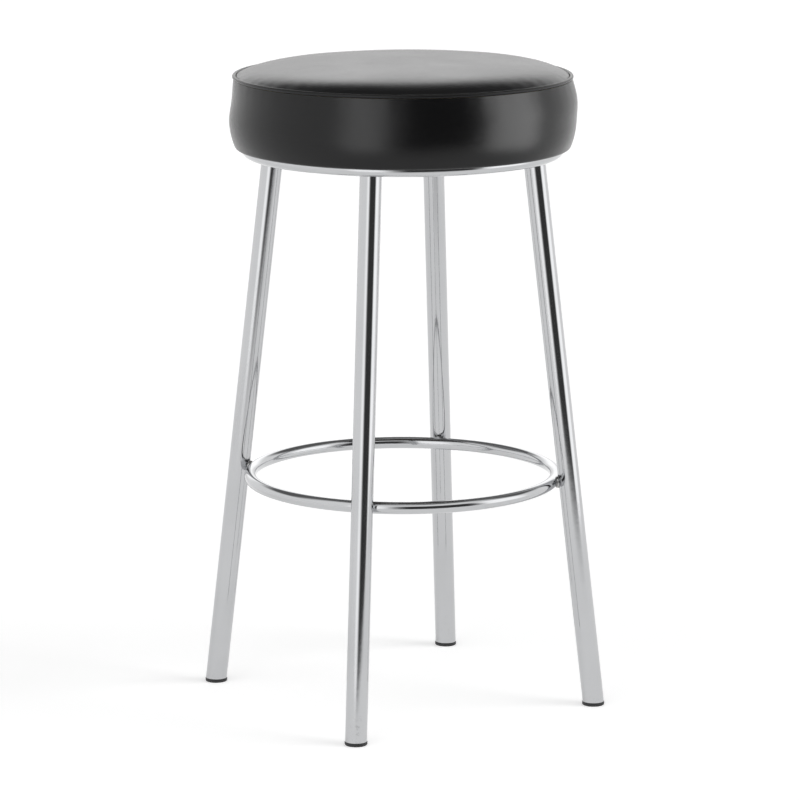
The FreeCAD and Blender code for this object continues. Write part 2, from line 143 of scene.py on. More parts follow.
class Graph:
    """The node tree of a material or of the world.

    A Mix node has sockets of the same names for numbers, vectors and colours, so those for
    colours are known here by their places.
    """

    MIX_FACTOR, MIX_FIRST, MIX_SECOND, MIX_RESULT = 0, 6, 7, 2

    def __init__(self, tree: bpy.types.NodeTree) -> None:
        """Empties the tree that is to be filled."""
        self.tree = tree
        self.tree.nodes.clear()

    def add(
        self,
        kind: str,
        settings: dict[str, object] | None = None,
        inputs: dict[str | int, object] | None = None,
        output: str | int = 0,
    ) -> Socket:
        """Adds one node.

        Args:
            kind: The node's type.
            settings: Its properties, set first.
            inputs: Values or outputs for its sockets, by name or number.
            output: The output that is wanted, by name or number.

        Returns:
            That output.
        """
        node = self.tree.nodes.new(kind)
        for name, value in (settings or {}).items():
            setattr(node, name, value)
        for name, value in (inputs or {}).items():
            if isinstance(value, Socket):
                self.tree.links.new(value.output, node.inputs[name])
            else:
                node.inputs[name].default_value = value
        return Socket(self, node.outputs[output])

    def close(self, kind: str, socket: str, shader: Socket) -> None:
        """Ends the tree in its output node.

        Args:
            kind: Type of the output node.
            socket: Name of its input.
            shader: What it shows.
        """
        self.tree.links.new(shader.output, self.tree.nodes.new(kind).inputs[socket])

    def place(self) -> Socket:
        """Gives the object coordinates of the shaded point."""
        return self.add("ShaderNodeTexCoord", output="Object")

    def axis(self, vector: Socket, name: str) -> Socket:
        """Gives one coordinate, X, Y or Z, of a vector."""
        return self.add("ShaderNodeSeparateXYZ", inputs={0: vector}, output=name)

    def stretch(self, vector: Socket, scale: Scale) -> Socket:
        """Scales a vector along its axes."""
        return self.add("ShaderNodeMapping", inputs={"Vector": vector, "Scale": scale})

    def noise(self, vector: Socket, scale: float, detail: float) -> Socket:
        """Gives a soft noise between 0 and 1.

        Args:
            vector: Where it is read.
            scale: Lumps to the metre.
            detail: Octaves of finer noise.

        Returns:
            The noise's height.
        """
        inputs = {"Vector": vector, "Scale": scale, "Detail": detail}
        return self.add("ShaderNodeTexNoise", inputs=inputs)

    def cells(self, vector: Socket, scale: float, feature: str = "F1") -> Socket:
        """Gives the distance field of a cell pattern.

        Args:
            vector: Where it is read.
            scale: Cells to the metre.
            feature: Which distance it is.

        Returns:
            The distance.
        """
        inputs = {"Vector": vector, "Scale": scale}
        return self.add("ShaderNodeTexVoronoi", {"feature": feature}, inputs, "Distance")

    def mix(self, factor: Socket, first: Socket | Colour, second: Socket | Colour) -> Socket:
        """Mixes two colours.

        Args:
            factor: Share of the second colour.
            first: Colour at 0.
            second: Colour at 1.

        Returns:
            The mixed colour.
        """
        colours = {self.MIX_FACTOR: factor, self.MIX_FIRST: first, self.MIX_SECOND: second}
        return self.add("ShaderNodeMix", {"data_type": "RGBA"}, colours, self.MIX_RESULT)

    def bump(self, height: Socket, distance: float) -> Socket:
        """Tilts the surface by a height field.

        Args:
            height: The field, from 0 to 1.
            distance: Metres that its full height stands for.

        Returns:
            The tilted normal.
        """
        return self.add("ShaderNodeBump", inputs={"Height": height, "Distance": distance})


@dataclass(frozen=True)
class Finish:
    """A surface finish that is painted once and shared by the pieces of a slot."""

    name: str

    def material(self) -> bpy.types.Material:
        """Makes the finish's material.

        Returns:
            A material with its nodes in place.
        """
        made = bpy.data.materials.new(self.name)
        made.use_nodes = True
        graph = Graph(made.node_tree)
        sockets = self.paint(graph, graph.place())
        shader = graph.add("ShaderNodeBsdfPrincipled", inputs=sockets)
        graph.close("ShaderNodeOutputMaterial", "Surface", shader)
        return made

    def paint(self, graph: Graph, place: Socket) -> dict[str, object]:
        """Works out the shader's sockets.

        Args:
            graph: The graph to build in.
            place: Object coordinates of the surface.

        Returns:
            Values or outputs for the shader, by socket name.
        """
        raise NotImplementedError


@dataclass(frozen=True)
class BrightChrome(Finish):
    """Polished chrome plate with faint haze, polishing lines and dust near the floor."""

    tint: Colour = (0.515, 0.52, 0.53, 1.0)
    haze_tint: Colour = (0.475, 0.48, 0.49, 1.0)
    roughness: float = 0.075
    haze_lumps: float = 14.0
    haze_span: Span = (0.42, 0.75)
    haze_share: float = 0.5
    haze_dulls: float = 0.03
    line_stretch: Scale = (1500.0, 1500.0, 60.0)
    lines_dull: float = 0.02
    dust_height: float = 0.07
    dust_specks: float = 260.0
    dust_span: Span = (0.5, 0.8)
    dust_share: float = 0.4
    dust_dulls: float = 0.2
    wave_lumps: float = 120.0
    wave_depth: float = 0.00002
    pits: float = 1100.0
    pit_share: float = 0.08

    def paint(self, graph: Graph, place: Socket) -> dict[str, object]:
        """Works out colour, roughness and a slight waviness of the plate.

        Args:
            graph: The graph to build in.
            place: Object coordinates of the surface.

        Returns:
            Values or outputs for the shader, by socket name.
        """
        haze = graph.noise(place, self.haze_lumps, detail=4.0).step(*self.haze_span)
        lines = graph.noise(graph.stretch(place, self.line_stretch), 1.0, detail=2.0)
        low = 1 - graph.axis(place, "Z").step(0.0, self.dust_height)
        dust = low * graph.noise(place, self.dust_specks, detail=5.0).step(*self.dust_span)
        dulled = haze * self.haze_dulls + lines * self.lines_dull + dust * self.dust_dulls
        pits = graph.noise(place, self.pits, detail=2.0) * self.pit_share
        waves = graph.noise(place, self.wave_lumps, detail=1.0) + pits
        veil = haze * self.haze_share + dust * self.dust_share
        return {
            "Base Color": graph.mix(veil, self.tint, self.haze_tint),
            "Metallic": 1.0,
            "Roughness": self.roughness + dulled,
            "Normal": graph.bump(waves, self.wave_depth),
        }


@dataclass(frozen=True)
class WeldBead(Finish):
    """Plated weld bead: overlapping ripples, bright on their backs and dull in between."""

    bright: Colour = (0.5, 0.505, 0.51, 1.0)
    dull: Colour = (0.36, 0.355, 0.35, 1.0)
    roughness: float = 0.14
    ripples: float = 620.0
    ripple_span: Span = (0.1, 0.75)
    ripple_depth: float = 0.00008
    ripples_dull: float = 0.2
    spatter: float = 2400.0
    spatter_share: float = 0.25
    spatter_dulls: float = 0.08

    def paint(self, graph: Graph, place: Socket) -> dict[str, object]:
        """Works out the ripples, the dull seams between them and a fine spatter.

        Args:
            graph: The graph to build in.
            place: Object coordinates of the surface.

        Returns:
            Values or outputs for the shader, by socket name.
        """
        ripple = graph.cells(place, self.ripples).step(*self.ripple_span)
        spatter = graph.noise(place, self.spatter, detail=3.0)
        return {
            "Base Color": graph.mix(ripple, self.bright, self.dull),
            "Metallic": 1.0,
            "Roughness": self.roughness + ripple * self.ripples_dull + spatter * self.spatter_dulls,
            "Normal": graph.bump(spatter * self.spatter_share - ripple, self.ripple_depth),
        }


@dataclass(frozen=True)
class RolledPlate(Finish):
    """Thinly plated rolled steel, duller than the tubes, with rolling streaks."""

    tint: Colour = (0.46, 0.465, 0.47, 1.0)
    stain: Colour = (0.27, 0.26, 0.25, 1.0)
    roughness: float = 0.2
    streak_stretch: Scale = (40.0, 700.0, 700.0)
    streak_depth: float = 0.00006
    streaks_dull: float = 0.16
    blotches: float = 45.0
    blotch_span: Span = (0.5, 0.78)
    blotch_share: float = 0.6
    blotches_dull: float = 0.18

    def paint(self, graph: Graph, place: Socket) -> dict[str, object]:
        """Works out streaked colour and roughness.

        Args:
            graph: The graph to build in.
            place: Object coordinates of the surface.

        Returns:
            Values or outputs for the shader, by socket name.
        """
        streaks = graph.noise(graph.stretch(place, self.streak_stretch), 1.0, detail=4.0)
        blotch = graph.noise(place, self.blotches, detail=5.0).step(*self.blotch_span)
        return {
            "Base Color": graph.mix(blotch * self.blotch_share, self.tint, self.stain),
            "Metallic": 1.0,
            "Roughness": self.roughness + streaks * self.streaks_dull + blotch * self.blotches_dull,
            "Normal": graph.bump(streaks, self.streak_depth),
        }


@dataclass(frozen=True)
class ZincPlate(Finish):
    """Clear passivated zinc on small fasteners, with a faint warm and cold cast."""

    cold: Colour = (0.55, 0.58, 0.61, 1.0)
    warm: Colour = (0.62, 0.58, 0.49, 1.0)
    roughness: float = 0.26
    cast_lumps: float = 110.0
    cast_span: Span = (0.4, 0.7)
    spangles: float = 1600.0
    spangle_depth: float = 0.00004
    spangles_dull: float = 0.22

    def paint(self, graph: Graph, place: Socket) -> dict[str, object]:
        """Works out the cast, a matt spangle and a fine grain.

        Args:
            graph: The graph to build in.
            place: Object coordinates of the surface.

        Returns:
            Values or outputs for the shader, by socket name.
        """
        cast = graph.noise(place, self.cast_lumps, detail=3.0).step(*self.cast_span)
        spangle = graph.cells(place, self.spangles)
        return {
            "Base Color": graph.mix(cast, self.cold, self.warm),
            "Metallic": 1.0,
            "Roughness": self.roughness + spangle * self.spangles_dull,
            "Normal": graph.bump(spangle, self.spangle_depth),
        }


@dataclass(frozen=True)
class Leatherette(Finish):
    """Black coated cloth with a pebbled grain, soft gloss and slightly rubbed tops."""

    valley: Colour = (0.003, 0.003, 0.0033, 1.0)
    pebble: Colour = (0.007, 0.007, 0.0074, 1.0)
    smoothest: float = 0.17
    roughest: float = 0.27
    specular: float = 0.29
    pebbles: float = 720.0
    pebble_span: Span = (0.02, 0.32)
    pebble_share: float = 0.75
    pebble_gloss: float = 0.55
    warp_lumps: float = 240.0
    warp_reach: float = 0.0012
    pores: float = 4200.0
    pore_share: float = 0.2
    folds: float = 75.0
    fold_span: Span = (0.35, 0.7)
    fold_share: float = 0.4
    rubs: float = 9.0
    rub_span: Span = (0.35, 0.75)
    rub_share: float = 0.4
    grain_depth: float = 0.00004

    def paint(self, graph: Graph, place: Socket) -> dict[str, object]:
        """Works out the grain, its rubbed tops and an uneven gloss.

        Args:
            graph: The graph to build in.
            place: Object coordinates of the surface.

        Returns:
            Values or outputs for the shader, by socket name.
        """
        lumps = {"Vector": place, "Scale": self.warp_lumps}
        warp = graph.add("ShaderNodeTexNoise", inputs=lumps, output="Color")
        reach = {0: warp, "Scale": self.warp_reach}
        sway = graph.add("ShaderNodeVectorMath", {"operation": "SCALE"}, reach)
        bent = graph.add("ShaderNodeVectorMath", {"operation": "ADD"}, {0: place, 1: sway})
        edges = graph.cells(bent, self.pebbles, "DISTANCE_TO_EDGE").step(*self.pebble_span)
        pores = graph.noise(place, self.pores, detail=2.0)
        folds = graph.noise(place, self.folds, detail=5.0).step(*self.fold_span)
        rubbed = graph.noise(place, self.rubs, detail=3.0).step(*self.rub_span)
        height = edges * self.pebble_share + pores * self.pore_share + folds * self.fold_share
        wear = (1 - self.rub_share) + self.rub_share * rubbed
        gloss = edges * self.pebble_gloss + rubbed * (1 - self.pebble_gloss)
        return {
            "Base Color": graph.mix(edges * wear, self.valley, self.pebble),
            "Roughness": self.roughest - (self.roughest - self.smoothest) * gloss,
            "Specular IOR Level": self.specular,
            "Normal": graph.bump(height, self.grain_depth),
        }


@dataclass(frozen=True)
class SeatFoam(Finish):
    """Open-cell cushion foam, yellowed in patches."""

    fresh: Colour = (0.72, 0.66, 0.5, 1.0)
    aged: Colour = (0.55, 0.44, 0.26, 1.0)
    roughness: float = 0.85
    cells: float = 900.0
    cell_span: Span = (0.1, 0.6)
    cell_depth: float = 0.0004
    cell_share: float = 0.3
    cells_dull: float = 0.1
    patches: float = 22.0
    patch_span: Span = (0.4, 0.7)
    patch_share: float = 0.7

    def paint(self, graph: Graph, place: Socket) -> dict[str, object]:
        """Works out the cells and the yellowed patches.

        Args:
            graph: The graph to build in.
            place: Object coordinates of the surface.

        Returns:
            Values or outputs for the shader, by socket name.
        """
        cells = graph.cells(place, self.cells).step(*self.cell_span)
        patches = graph.noise(place, self.patches, detail=4.0).step(*self.patch_span)
        age = patches * self.patch_share + cells * self.cell_share
        return {
            "Base Color": graph.mix(age, self.fresh, self.aged),
            "Roughness": self.roughness + cells * self.cells_dull,
            "Normal": graph.bump(cells, self.cell_depth),
        }


@dataclass(frozen=True)
class Plywood(Finish):
    """Black-stained birch plywood: grain shows through, and the edge has alternate plies."""

    pale: Colour = (0.062, 0.054, 0.047, 1.0)
    brown: Colour = (0.016, 0.014, 0.012, 1.0)
    roughness: float = 0.46
    underside: float = 0.6017
    ply: float = 0.0024
    ply_span: Span = (0.42, 0.58)
    ply_share: float = 0.35
    bow_lumps: float = 5.0
    bow_share: float = 0.3
    grain_stretch: Scale = (9.0, 260.0, 260.0)
    grain_span: Span = (0.42, 0.82)
    grain_share: float = 0.75
    grain_relief: float = 0.5
    fibre_stretch: Scale = (60.0, 2200.0, 2200.0)
    fibre_share: float = 0.15
    fibre_depth: float = 0.00012
    fibres_dull: float = 0.26

    def paint(self, graph: Graph, place: Socket) -> dict[str, object]:
        """Works out the grain, the plies and a sanded surface.

        Args:
            graph: The graph to build in.
            place: Object coordinates of the surface.

        Returns:
            Values or outputs for the shader, by socket name.
        """
        bow = graph.noise(place, self.bow_lumps, detail=1.0) * self.bow_share
        grain = graph.noise(graph.stretch(place, self.grain_stretch), 1.0, detail=6.0)
        fibres = graph.noise(graph.stretch(place, self.fibre_stretch), 1.0, detail=2.0)
        depth = (graph.axis(place, "Z") - self.underside) * (1 / self.ply)
        across = depth.math("PINGPONG", 1.0).step(*self.ply_span)
        figure = (grain + bow).step(*self.grain_span)
        plies = across * self.ply_share
        tone = figure * self.grain_share + plies + fibres * self.fibre_share
        return {
            "Base Color": graph.mix(tone, self.pale, self.brown),
            "Roughness": self.roughness + fibres * self.fibres_dull,
            "Normal": graph.bump(fibres + grain * self.grain_relief, self.fibre_depth),
        }


@dataclass(frozen=True)
class MouldedPlastic(Finish):
    """Black moulded plastic with a spark-eroded texture, scuffed where it meets the floor."""

    black: Colour = (0.011, 0.011, 0.012, 1.0)
    scuffed: Colour = (0.075, 0.073, 0.07, 1.0)
    roughness: float = 0.44
    sparks: float = 2600.0
    spark_depth: float = 0.00007
    sparks_dull: float = 0.14
    scuff_heights: Span = (0.0002, 0.0018)
    scuff_stretch: Scale = (500.0, 140.0, 500.0)
    scuff_span: Span = (0.42, 0.66)
    scuffs_dull: float = 0.25

    def paint(self, graph: Graph, place: Socket) -> dict[str, object]:
        """Works out the moulded texture and the scuffs of the foot's edge.

        Args:
            graph: The graph to build in.
            place: Object coordinates of the surface.

        Returns:
            Values or outputs for the shader, by socket name.
        """
        spark = graph.noise(place, self.sparks, detail=3.0)
        low = 1 - graph.axis(place, "Z").step(*self.scuff_heights)
        marks = graph.noise(graph.stretch(place, self.scuff_stretch), 1.0, detail=4.0)
        scuff = low * marks.step(*self.scuff_span)
        return {
            "Base Color": graph.mix(scuff, self.black, self.scuffed),
            "Roughness": self.roughness + spark * self.sparks_dull + scuff * self.scuffs_dull,
            "Normal": graph.bump(spark, self.spark_depth),
        }


class Bench:
    """Hand tools for shaping meshes: selection, edit mode, profiles and modifiers."""

    @staticmethod
    def pick(*pieces: bpy.types.Object) -> None:
        """Selects only these objects.

        Args:
            pieces: The objects, of which the first becomes active.
        """
        bpy.ops.object.select_all(action="DESELECT")
        for piece in pieces:
            piece.select_set(True)
        bpy.context.view_layer.objects.active = pieces[0]

    @staticmethod
    def clear() -> None:
        """Deselects everything, so that a new primitive stands alone."""
        bpy.ops.object.select_all(action="DESELECT")

    @staticmethod
    @contextmanager
    def editing(piece: bpy.types.Object) -> Iterator[None]:
        """Opens a piece in edit mode, in vertex selection, for the length of a with block.

        Args:
            piece: The mesh object.

        Yields:
            Nothing, while the piece is open.
        """
        Bench.pick(piece)
        bpy.ops.object.mode_set(mode="EDIT")
        bpy.ops.mesh.select_mode(type="VERT")
        yield
        bpy.ops.object.mode_set(mode="OBJECT")

    @staticmethod
    def select_points(piece: bpy.types.Object, wanted: Sequence[bool]) -> None:
        """Selects a piece's vertices from object mode.

        Args:
            piece: The mesh object.
            wanted: Says for each vertex whether it is selected.
        """
        mesh = piece.data
        for group in (mesh.edges, mesh.polygons):
            group.foreach_set("select", [False] * len(group))
        mesh.vertices.foreach_set("select", wanted)

    @staticmethod
    def select_faces(piece: bpy.types.Object, wanted: Sequence[bool]) -> None:
        """Selects a piece's faces, with their vertices, from object mode.

        Args:
            piece: The mesh object.
            wanted: Says for each face whether it is selected.
        """
        mesh = piece.data
        for group in (mesh.edges, mesh.vertices):
            group.foreach_set("select", [False] * len(group))
        mesh.polygons.foreach_set("select", wanted)
        for face in mesh.polygons:
            if face.select:
                for index in face.vertices:
                    mesh.vertices[index].select = True

    @staticmethod
    def turn(name: str, outline: Sequence[Point], steps: int) -> bpy.types.Object:
        """Turns an outline of radius and height round the upright axis.

        Args:
            name: Name of the new piece.
            outline: Points from one end of the outline to the other.
            steps: Segments round the axis.

        Returns:
            The turned piece, merged and facing outwards.
        """
        Bench.clear()
        bpy.ops.mesh.primitive_plane_add(size=0.01, location=(0, 0, 0))
        piece = bpy.context.object
        piece.name = name
        piece.data.name = name
        with Bench.editing(piece):
            bpy.ops.mesh.select_all(action="SELECT")
            bpy.ops.mesh.merge(type="CENTER")
            bpy.ops.transform.translate(value=(outline[0][0], 0, outline[0][1]))
            for (radius, height), (next_radius, next_height) in zip(outline, outline[1:]):
                move = (next_radius - radius, 0, next_height - height)
                bpy.ops.mesh.extrude_region_move(TRANSFORM_OT_translate={"value": move})
            bpy.ops.mesh.select_all(action="SELECT")
            bpy.ops.mesh.spin(steps=steps, angle=FULL_TURN, center=(0, 0, 0), axis=(0, 0, 1))
            bpy.ops.mesh.select_all(action="SELECT")
            bpy.ops.mesh.remove_doubles(threshold=MERGE_DISTANCE)
            bpy.ops.mesh.normals_make_consistent(inside=False)
        Bench.put_in_order(piece.data)
        return piece

    @staticmethod
    def put_in_order(mesh: bpy.types.Mesh) -> None:
        """Sorts a mesh's points and faces, so that a simulation gives the same result each run.

        Args:
            mesh: The mesh, whose points the operators leave in no fixed order.
        """
        places = [tuple(vertex.co) for vertex in mesh.vertices]
        order = sorted(range(len(places)), key=places.__getitem__)
        rank = {old: new for new, old in enumerate(order)}
        faces = []
        for face in mesh.polygons:
            loop = [rank[index] for index in face.vertices]
            first = loop.index(min(loop))
            faces.append(loop[first:] + loop[:first])
        mesh.clear_geometry()
        mesh.from_pydata([places[old] for old in order], [], sorted(faces))

    @staticmethod
    def modify(piece: bpy.types.Object, kind: str, **settings: object) -> None:
        """Adds a modifier and applies it at once.

        Args:
            piece: The object that gets it.
            kind: The modifier's type.
            settings: Its properties.
        """
        Bench.pick(piece)
        modifier = piece.modifiers.new(kind.lower(), kind)
        for name, value in settings.items():
            setattr(modifier, name, value)
        bpy.ops.object.modifier_apply(modifier=modifier.name)

    @staticmethod
    def move_points(piece: bpy.types.Object, moved: Callable[[Vector], Vector]) -> None:
        """Moves each vertex by a formula.

        Args:
            piece: The mesh object.
            moved: Gives a vertex's new place from its old one.
        """
        for vertex in piece.data.vertices:
            vertex.co = moved(vertex.co.copy())
        piece.data.update()

    @staticmethod
    def smooth(piece: bpy.types.Object) -> None:
        """Shades a piece smooth, but for its sharp edges."""
        Bench.pick(piece)
        bpy.ops.object.shade_smooth_by_angle(angle=SMOOTH_ANGLE)


def arc(start: Point, end: Point, radius: float, count: int) -> list[Point]:
    """Points along an arc that bows outwards, away from the upright axis.

    Args:
        start: First end of the arc.
        end: Second end of the arc.
        radius: Radius of the arc.
        count: Steps along it.

    Returns:
        The points after the start, the end among them.
    """
    across, along = end[0] - start[0], end[1] - start[1]
    chord = math.hypot(across, along)
    middle = ((start[0] + end[0]) / 2, (start[1] + end[1]) / 2)
    reach = math.sqrt(radius * radius - chord * chord / 4)
    side = -1 if along < 0 else 1
    centre = (middle[0] - side * along / chord * reach, middle[1] + side * across / chord * reach)
    first = math.atan2(start[1] - centre[1], start[0] - centre[0])
    last = math.atan2(end[1] - centre[1], end[0] - centre[0])
    turns = [first + (last - first) * step / count for step in range(1, count + 1)]
    return [(centre[0] + radius * math.cos(t), centre[1] + radius * math.sin(t)) for t in turns]


def line(start: Point, end: Point, count: int) -> list[Point]:
    """Points along a straight run, without its start.

    Args:
        start: First end of the run.
        end: Second end of the run.
        count: Steps along it.

    Returns:
        The points after the start, the end among them.
    """
    across, along = end[0] - start[0], end[1] - start[1]
    shares = [step / count for step in range(1, count + 1)]
    return [(start[0] + across * share, start[1] + along * share) for share in shares]


@dataclass(frozen=True)
class Cushion:
    """The boxed cushion: crowned top panel, welt, bellied side band with its hem, and foam.

    A point is a radius and a height. Puckers, pleats and stitches are counts to the full turn,
    dimples and lumps are the scales of soft noise, and a share is a part of the piping's radius.
    """

    top_name: str = "seat_top_panel"
    band_name: str = "seat_band"
    segments: int = 144
    crown_steps: int = 26
    cloth: float = 0.0012
    edge_radius: float = 0.1753
    edge_height: float = 0.6724
    skirt: float = 0.002
    dome_rise: float = 0.0064
    shoulder_rise: float = 0.0092
    shoulder_power: float = 10.4
    crown_lean: float = 0.0013
    rim_power: int = 8
    seam_radius: float = 0.1786
    seam_height: float = 0.6692
    belly_radius: float = 0.1834
    belly_height: float = 0.627
    upper_round: float = 0.1914
    lower_round: float = 0.0754
    corner: Point = (0.1776, 0.598)
    lip_outer: Point = (0.1748, 0.59615)
    lip_inner: Point = (0.1715, 0.59615)
    lip_round: float = 0.003
    hem_outer: Point = (0.1678, 0.6005)
    hem_inner: Point = (0.138, 0.6005)
    fuller_by: float = 0.0018
    fuller_towards: float = math.radians(-32)
    fuller_height: float = 0.648
    fuller_spread: float = 0.026
    dimples: float = 16.0
    dimple_depth: float = 0.0004
    crown_slack: float = 0.0035
    belly_slack: float = 0.0015
    settle_frames: int = 20
    pressure: float = 120.0
    ease: float = 0.018
    pucker_depth: float = 0.00016
    pucker_reach: float = 0.012
    puckers: int = 58
    pull_lumps: float = 4.0
    pull_drift: float = 2.5
    pleats: int = 72
    pleat_depth: float = 0.0005
    join_width: float = 0.0016
    join_depth: float = 0.0007
    join_reach: float = 0.016
    piping_sides: int = 14
    stitches: int = 300
    steps_per_stitch: int = 4
    stitch_share: float = 0.035
    lumps: float = 30.0
    lump_share: float = 0.03
    nick_share: float = 0.25

    def build(
        self, cover: bpy.types.Material, piping: bpy.types.Material, foam: bpy.types.Material
    ) -> None:
        """Models the cushion's pieces and dresses them.

        Args:
            cover: Leatherette of the panels.
            piping: Leatherette of the welt.
            foam: Foam of the core.
        """
        top, band = self.filled_panels()
        self.sew_top(top)
        self.sew_band(band)
        core = self.foam_core()
        finish_piece(top, cover, Slot.LEATHERETTE, "seat_top_cover")
        finish_piece(band, cover, Slot.LEATHERETTE, "seat_side_band")
        finish_piece(self.welt(), piping, Slot.WELT, "seat_welt")
        finish_piece(core, foam, Slot.FOAM, "seat_foam")

    def crown(self, radius: float) -> float:
        """Works out the filled crown, a low dome with a round shoulder.

        Args:
            radius: Distance from the seat's axis.

        Returns:
            The crown's height there.
        """
        share = min(radius / self.edge_radius, 1.0)
        shoulder = self.shoulder_rise * (1 - share**self.shoulder_power)
        return self.edge_height + self.dome_rise * (1 - share**2) + shoulder

    def crown_line(self, inset: float = 0.0) -> list[Point]:
        """Outline of the filled crown, from the middle to its edge.

        Args:
            inset: How far under the cover's outside the outline lies.

        Returns:
            Points of radius and height, closer together near the edge.
        """
        turns = [math.pi / 2 * step / self.crown_steps for step in range(self.crown_steps + 1)]
        shares = [math.sin(turn) for turn in turns]
        radii = [(self.edge_radius - inset) * share for share in shares]
        return [(radius, self.crown(radius) - inset) for radius in radii]

    def band_line(self, inset: float = 0.0) -> list[Point]:
        """Outline of the filled side band, from the seam down to its drawn-in corner.

        Args:
            inset: How far under the cover's outside the outline lies.

        Returns:
            Points of radius and height.
        """
        seam = (self.seam_radius - inset, self.seam_height)
        belly = (self.belly_radius - inset, self.belly_height)
        corner = (self.corner[0] - inset, self.corner[1])
        upper = arc(seam, belly, self.upper_round, count=12)
        return [seam, *upper, *arc(belly, corner, self.lower_round, count=9)]

    def on_crown(self, place: Vector) -> bool:
        """Says whether a place of the cover is on the top panel or its tucked edge."""
        return place.z > self.edge_height - self.skirt and place.xy.length < self.edge_radius

    def on_band(self, place: Vector) -> bool:
        """Says whether a place of the cover is on the side band, above its lower corner."""
        return self.corner[1] < place.z < self.seam_height and place.xy.length > self.hem_outer[0]

    def slack(self, place: Vector) -> float:
        """Works out how far the slack cover lies inside the filled one.

        Args:
            place: Where on the filled cover.

        Returns:
            The depth.
        """
        if place.z > self.edge_height:
            return self.crown_slack * (1 - (place.xy.length / self.edge_radius) ** 2)
        if self.on_band(place):
            height = (place.z - self.corner[1]) / (self.seam_height - self.corner[1])
            return self.belly_slack * math.sin(math.pi * height)
        return 0.0

    def fuller(self, place: Vector) -> Vector:
        """Pushes the cover out where the foam sits fuller, and in on the other side.

        Args:
            place: A place of the even cover.

        Returns:
            Where it goes.
        """
        side = math.cos(math.atan2(place.y, place.x) - self.fuller_towards)
        off_height = (place.z - self.fuller_height) / self.fuller_spread
        if self.on_band(place) and abs(off_height) < 1:
            swell = self.fuller_by * side * math.cos(math.pi / 2 * off_height) ** 2
            place.xy += place.xy.normalized() * swell
        elif place.z > self.edge_height:
            share = place.xy.length / self.edge_radius
            dimples = self.dimple_depth * noise.noise(place * self.dimples)
            place.z += (self.crown_lean * side * share + dimples) * (1 - share**self.rim_power)
        return place

    def cover_outline(self) -> list[Point]:
        """Outline of the whole filled cover, from its middle on top to its middle below.

        Returns:
            Points of radius and height.
        """
        tuck = (self.edge_radius - self.cloth / 2, self.edge_height - self.skirt)
        lip = [*arc(self.corner, self.lip_outer, self.lip_round, count=3), self.lip_inner]
        hem = [self.hem_outer, *line(self.hem_outer, self.hem_inner, count=6)]
        underside = line(self.hem_inner, (0.0, self.hem_inner[1]), count=4)
        return [*self.crown_line(), tuck, *self.band_line(), *lip, *hem, *underside]

    def filled_panels(self) -> tuple[bpy.types.Object, bpy.types.Object]:
        """Models the whole cover slack and closed, fills it, and parts it at its seam.

        Returns:
            The top panel and the side band, as thin skins.
        """
        pad = Bench.turn(self.top_name, self.cover_outline(), self.segments)
        Bench.move_points(pad, self.fuller)
        filled = [vertex.co.copy() for vertex in pad.data.vertices]
        self.fill(pad)
        spare = [self.is_spare([filled[i] for i in face.vertices]) for face in pad.data.polygons]
        Bench.select_faces(pad, spare)
        with Bench.editing(pad):
            bpy.ops.mesh.select_mode(type="FACE")
            bpy.ops.mesh.delete(type="FACE")
            bpy.ops.mesh.select_all(action="SELECT")
            bpy.ops.mesh.separate(type="LOOSE")
        band, top = sorted(bpy.context.selected_objects, key=lambda part: part.bound_box[1][2])
        band.name = band.data.name = self.band_name
        top.name = top.data.name = self.top_name
        for panel in (top, band):
            Bench.modify(panel, "SUBSURF", levels=1, render_levels=1)
        return top, band

    def is_spare(self, corners: Sequence[Vector]) -> bool:
        """Says whether a face of the cover is in the seam's gutter or under the board.

        Args:
            corners: The face's corners on the filled cover.

        Returns:
            Whether the panels go without it.
        """
        middle = sum(corners, Vector()) / len(corners)
        under_board = middle.z < self.belly_height and middle.xy.length < self.hem_inner[0]
        over_seam = middle.z > self.seam_height and not self.on_crown(middle)
        return under_board or over_seam

    def fill(self, pad: bpy.types.Object) -> None:
        """Slackens the cover, then blows it up as cloth.

        Each point may rise straight out, by its slack at most.

        Args:
            pad: The filled cover, one closed skin.
        """
        points = pad.data.vertices
        depths = [self.slack(point.co) for point in points]
        outwards = [point.normal.copy() for point in points]
        slack = [point.co - way * depth for point, way, depth in zip(points, outwards, depths)]
        for point, place in zip(points, slack):
            point.co = place
        held = pad.vertex_groups.new(name="held")
        held.add([i for i, depth in enumerate(depths) if depth < MERGE_DISTANCE], 1.0, "REPLACE")
        modifier = pad.modifiers.new("filling", "CLOTH")
        cloth = modifier.settings
        cloth.quality = 5
        cloth.mass = 0.2
        cloth.tension_stiffness = 10.0
        cloth.compression_stiffness = 10.0
        cloth.bending_stiffness = 1.0
        cloth.shrink_min = -self.ease
        cloth.use_pressure = True
        cloth.uniform_pressure_force = self.pressure
        cloth.vertex_group_mass = held.name
        cloth.effector_weights.gravity = 0.0
        modifier.point_cache.frame_end = self.settle_frames
        for number in range(1, self.settle_frames + 1):
            bpy.context.scene.frame_set(number)
        Bench.pick(pad)
        bpy.ops.object.modifier_apply(modifier=modifier.name)
        bpy.context.scene.frame_set(1)
        full = 0
        for point, place, way, depth in zip(pad.data.vertices, slack, outwards, depths):
            risen = max((point.co - place).dot(way), 0.0)
            full += risen >= depth
            point.co = place + way * min(risen, depth)
        LOG.info("cover filled to its cut at %d of %d points", full, len(slack))

    def sew_top(self, top: bpy.types.Object) -> None:
        """Draws small puckers in from the seam and gives the top panel its thickness.

        Args:
            top: The top panel, a thin skin.
        """

        def puckered(place: Vector) -> Vector:
            """Sinks the panel by the puckers near its edge.

            Args:
                place: A place of the smooth panel.

            Returns:
                Where it goes.
            """
            inward = max(self.edge_radius - place.xy.length, 0.0)
            near = math.exp(-inward / self.pucker_reach)
            place.z -= self.pucker_depth * near * self.pull(place, self.puckers)
            return place

